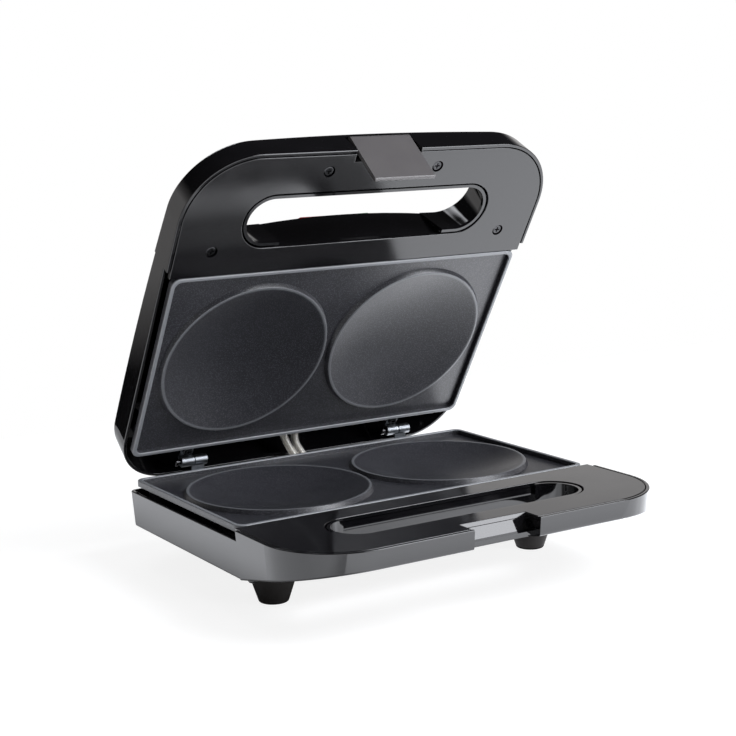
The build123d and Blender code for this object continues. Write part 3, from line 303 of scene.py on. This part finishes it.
def hanging(name, x, x_lid, x_pin):
    """Middle line of a wire: a NURBS spline of order 3 that starts and ends on its route and is pulled
    towards the points between, read as a fine row of points. The route leaves the terminal block,
    rises inside the rear wall, passes its bush and enters the lid down to the element's pin."""
    route = np.array([
        (x, 0.0689, 0.0293), (x, 0.075, 0.0293), (x, 0.075, 0.0394), (x, 0.0881, 0.0394),
        on_lid(x_lid, 0.134, -0.008), on_lid(x_pin, 0.119, -0.0158), on_lid(x_pin, 0.104, -0.0158)
    ])
    curve = bpy.data.curves.new(name, "CURVE")
    curve.dimensions = "3D"
    curve.resolution_u = 14
    spline = curve.splines.new("NURBS")
    spline.points.add(len(route) - 1)
    spline.points.foreach_set("co", np.hstack([route, np.ones((len(route), 1))]).ravel())
    spline.order_u = 3
    spline.use_endpoint_u = True
    thread = bpy.data.objects.new(name, curve)
    row = bpy.data.meshes.new_from_object(thread)
    line = np.empty(len(row.vertices) * 3)
    row.vertices.foreach_get("co", line)
    bpy.data.objects.remove(thread)
    bpy.data.meshes.remove(row)
    return line.reshape(-1, 3)


def tubes(name, lines, radius, sides=20):
    """Round tubes along lines. Each point of a line carries a circle across it, which starts from the
    X direction made square to the line. UV runs along the tube in metres and once round it."""
    points, faces, uvs = [], [], []
    for line in lines:
        run = np.gradient(line, axis=0)
        run /= np.linalg.norm(run, axis=1)[:, None]
        side = np.array([1.0, 0.0, 0.0]) - run * run[:, :1]
        side /= np.linalg.norm(side, axis=1)[:, None]
        rise = np.cross(run, side)
        turn = np.linspace(0, 2 * np.pi, sides, endpoint=False)
        across, up = np.cos(turn)[None, :, None], np.sin(turn)[None, :, None]
        ring = side[:, None] * across + rise[:, None] * up
        first = sum(len(p) for p in points)
        points.append((line[:, None] + radius * ring).reshape(-1, 3))
        row, col = np.meshgrid(np.arange(len(line) - 1), np.arange(sides), indexing="ij")
        after = (col + 1) % sides
        corner = np.stack([row * sides + col, row * sides + after, (row + 1) * sides + after,
                           (row + 1) * sides + col], -1) + first
        faces.append(corner.reshape(-1, 4))
        along = np.concatenate([[0], np.cumsum(np.linalg.norm(np.diff(line, axis=0), axis=1))])
        u = np.stack([along[row], along[row], along[row + 1], along[row + 1]], -1)
        v = np.stack([col, col + 1, col + 1, col], -1) / sides
        uvs.append(np.stack([u, v], -1).reshape(-1, 2))
    mesh = bpy.data.meshes.new(name)
    mesh.from_pydata(np.concatenate(points).tolist(), [], np.concatenate(faces).tolist())
    spread = np.concatenate(uvs).astype(np.float32).ravel()
    mesh.uv_layers.new(name="UVMap").data.foreach_set("uv", spread)
    mesh.polygons.foreach_set("use_smooth", np.ones(len(mesh.polygons), bool))
    piece = bpy.data.objects.new(name, mesh)
    bpy.context.scene.collection.objects.link(piece)
    return piece


strands = [hanging("left_strand", 0.0, -0.0082, -0.00975),
           hanging("right_strand", 0.0056, -0.0026, 0.00975)]
sleeves = tubes("link_sleeves", strands, SLEEVE_R)
braids = tubes("link_braids", strands, BRAID_R)
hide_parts("link_wires")

# Tinned braid: bundles 1.2 mm long that cross round the wire, six each way. Their crowns are painted pale
# and the hollows between them dark, a painted glint and painted shade over the bump.
BUNDLE_TURN = 5200.0        # radians per metre along the wire, 2 pi in 1.2 mm
ROUND_TURN = 37.7           # radians once round it, 2 pi for each of six bundles
tinned, tree, out = finish("tinned_copper_braid")
place = add(tree, "ShaderNodeTexCoord", {})
cells = add(tree, "ShaderNodeSeparateXYZ", {}, {"Vector": (place, "UV")})
lengthwise = add(tree, "ShaderNodeMath", {"operation": "MULTIPLY", 1: BUNDLE_TURN}, {0: (cells, "X")})
waves = []
for way in (ROUND_TURN, -ROUND_TURN):
    phase = add(tree, "ShaderNodeMath", {"operation": "MULTIPLY_ADD", 1: way},
                {0: (cells, "Y"), 2: (lengthwise, 0)})
    waves.append(add(tree, "ShaderNodeMath", {"operation": "SINE"}, {0: (phase, 0)}))
cross = add(tree, "ShaderNodeMath", {"operation": "MAXIMUM"}, {0: (waves[0], 0), 1: (waves[1], 0)})
# Painted glint and shade: the base colour is pale on the bundles' crowns and dark in the hollows between
# them.
ground = add(tree, "ShaderNodeMix", {"data_type": "RGBA", 6: linear("#6f6a62"), 7: linear("#d9d6cf")},
             {0: (cross, 0)})
bump = add(tree, "ShaderNodeBump", {"Strength": 0.6, "Distance": 0.0001}, {"Height": (cross, 0)})
shader = add(tree, "ShaderNodeBsdfPrincipled", {"Metallic": 1.0, "Roughness": 0.35},
             {"Base Color": (ground, 2), "Normal": (bump, "Normal")})
tree.links.new(shader.outputs["BSDF"], out.inputs["Surface"])
braids.data.materials.append(tinned)

# Clear silicone: extruded, faintly wavy every 4 mm.
sleeves.data.materials.append(
    mottled("clear_silicone_sleeve", "#e9e7e3", "#f8f7f4", 0.003, 0.08, 0.16, 0.004, 0.0002,
            {"IOR": 1.41, "Transmission Weight": 0.85}))
for piece in (sleeves, braids):
    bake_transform(piece)


# Studio
# A white table in a dim room: two soft boxes at the front right, low and high, one over the back, and
# panels lying on the table that only the gloss shows. The lens sees plain white all round.

room = bpy.data.worlds.new("studio")
bpy.context.scene.world = room
room.use_nodes = True
tree = room.node_tree
tree.nodes.clear()
out = add(tree, "ShaderNodeOutputWorld", {})
ray = add(tree, "ShaderNodeLightPath", {})
fill = add(tree, "ShaderNodeBackground", {"Color": (1, 1, 1, 1), "Strength": 0.22})
where = add(tree, "ShaderNodeTexCoord", {})
split = add(tree, "ShaderNodeSeparateXYZ", {}, {"Vector": (where, "Generated")})
rise = add(tree, "ShaderNodeMapRange", {"From Min": -0.5, "From Max": 0.5}, {"Value": (split, "Z")})
wall = add(tree, "ShaderNodeValToRGB", {}, {"Fac": (rise, "Result")})
wall.color_ramp.elements[0].position = 0.36
wall.color_ramp.elements[0].color = (0.01, 0.01, 0.01, 1)
wall.color_ramp.elements[1].position = 0.42
wall.color_ramp.elements[1].color = (0.42, 0.41, 0.41, 1)
for spot, level in ((0.74, 0.75), (0.84, 0.3), (0.95, 0.02)):
    wall.color_ramp.elements.new(spot).color = (level, level * 0.98, level * 0.98, 1)
mirrored = add(tree, "ShaderNodeBackground", {"Strength": 1.0}, {"Color": (wall, "Color")})
white = add(tree, "ShaderNodeBackground", {"Color": (1, 1, 1, 1), "Strength": 1.0})
dim = add(tree, "ShaderNodeMixShader", {}, {0: (ray, "Is Glossy Ray"), 1: (fill, 0), 2: (mirrored, 0)})
clear = add(tree, "ShaderNodeMath", {"operation": "MAXIMUM"},
            {0: (ray, "Is Camera Ray"), 1: (ray, "Is Transmission Ray")})
both = add(tree, "ShaderNodeMixShader", {}, {0: (clear, "Value"), 1: (dim, 0), 2: (white, 0)})
tree.links.new(both.outputs[0], out.inputs["Surface"])

mesh = bpy.data.meshes.new("table_top")
mesh.from_pydata([(-0.6, -0.9, 0), (0.8, -0.9, 0), (0.8, 0.45, 0), (-0.6, 0.45, 0)], [], [(0, 1, 2, 3)])
table = bpy.data.objects.new("table_top", mesh)
bpy.context.scene.collection.objects.link(table)
paper, tree, out = finish("white_paper_sweep")
ray = add(tree, "ShaderNodeLightPath", {})
sheet = add(tree, "ShaderNodeBsdfDiffuse", {"Color": (0.8, 0.8, 0.8, 1)})
shade = add(tree, "ShaderNodeBsdfDiffuse", {"Color": (0.25, 0.25, 0.25, 1)})
glow = add(tree, "ShaderNodeEmission", {"Color": (1, 1, 1, 1), "Strength": 0.85})
lit = add(tree, "ShaderNodeAddShader", {}, {0: (shade, 0), 1: (glow, 0)})
either = add(tree, "ShaderNodeMath", {"operation": "MAXIMUM"},
             {0: (ray, "Is Camera Ray"), 1: (ray, "Is Transmission Ray")})
mix = add(tree, "ShaderNodeMixShader", {}, {0: (either, "Value"), 1: (sheet, 0), 2: (lit, 0)})
tree.links.new(mix.outputs[0], out.inputs["Surface"])
mesh.materials.append(paper)


def soft_box(name, centre, aim, width, height, radiance, gloss_only=False):
    """A rectangular lamp facing a point, even in the middle and dimmer towards its edges.
    Its power is pi times its area times its radiance."""
    lamp = bpy.data.lights.new(name, "AREA")
    lamp.shape = "RECTANGLE"
    lamp.size, lamp.size_y = width, height
    lamp.energy = np.pi * width * height * radiance
    lamp.use_nodes = True
    tree = lamp.node_tree
    tree.nodes.clear()
    spot = add(tree, "ShaderNodeNewGeometry", {})
    cells = add(tree, "ShaderNodeSeparateXYZ", {}, {"Vector": (spot, "Parametric")})
    falls = []
    for axis in ("X", "Y"):
        off = add(tree, "ShaderNodeMath", {"operation": "SUBTRACT", 1: 0.5}, {0: (cells, axis)})
        far = add(tree, "ShaderNodeMath", {"operation": "ABSOLUTE"}, {0: (off, 0)})
        falls.append(add(tree, "ShaderNodeMapRange", {"interpolation_type": "SMOOTHSTEP", "From Min": 0.5,
                         "From Max": 0.36, "To Min": 0.25, "To Max": 1.0}, {"Value": (far, 0)}))
    level = add(tree, "ShaderNodeMath", {"operation": "MULTIPLY"}, {0: (falls[0], 0), 1: (falls[1], 0)})
    glow = add(tree, "ShaderNodeEmission", {"Color": (0.96, 0.98, 1.03, 1)}, {"Strength": (level, 0)})
    out = add(tree, "ShaderNodeOutputLight", {}, {"Surface": (glow, 0)})
    holder = bpy.data.objects.new(name, lamp)
    holder.location = centre
    holder.rotation_euler = (Vector(aim) - Vector(centre)).to_track_quat("-Z", "Y").to_euler()
    holder.visible_camera = False
    holder.visible_diffuse = not gloss_only
    bpy.context.scene.collection.objects.link(holder)


def toward(azimuth, elevation, distance):
    """Point at an azimuth from the front towards the right, and an elevation, in degrees, as seen
    from the object's middle."""
    a, e = np.radians((azimuth, elevation))
    return (distance * np.sin(a) * np.cos(e), -distance * np.cos(a) * np.cos(e),
            MIDDLE[2] + distance * np.sin(e))


MIDDLE = (0, 0, 0.1)
for name, azimuth, elevation, width, height, radiance in (
        ("low_right", 36, 12, 0.9, 0.7, 10.0),
        ("high_right", 40, 44, 1.2, 1.1, 12.0),
        ("over_the_back", 176, 52, 0.9, 0.6, 5.5)):
    soft_box(name, toward(azimuth, elevation, 2.0), MIDDLE, width, height, radiance)
for name, x, y, width, depth, radiance in (
        ("panel_front", 0.16, -0.42, 1.12, 0.56, 2.75),
        ("panel_right", 0.36, 0.06, 0.64, 0.5, 2.3),
        ("panel_left", -0.28, 0.04, 0.32, 0.6, 1.45),
        ("panel_under", 0.01, -0.13, 0.2, 0.09, 1.3)):
    soft_box(name, (x, y, 0.001), (x, y, 1), width, depth, radiance, gloss_only=True)

# The lens is turned to the left, tilted and rolled in degrees as the photograph was taken.
eye = Vector((-0.47043, -0.73597, 0.26159))
lens = bpy.data.cameras.new("lens")
lens.lens = 77.59
lens.sensor_width = 36.0
lens.clip_start = 0.05
camera = bpy.data.objects.new("camera", lens)
turn, tilt, roll = np.radians((-32.2929, 9.7756, -1.1806))
back = Vector((np.sin(turn) * np.cos(tilt), -np.cos(turn) * np.cos(tilt), np.sin(tilt)))
right = (-back).cross(Vector((0, 0, 1))).normalized()
up = right.cross(-back)
right, up = right * np.cos(roll) + up * np.sin(roll), up * np.cos(roll) - right * np.sin(roll)
pose = Matrix((right, up, back)).transposed().to_4x4()
pose.translation = eye
camera.matrix_world = pose
bpy.context.scene.collection.objects.link(camera)
bpy.context.scene.camera = camera
bpy.context.scene.view_settings.view_transform = "Standard"
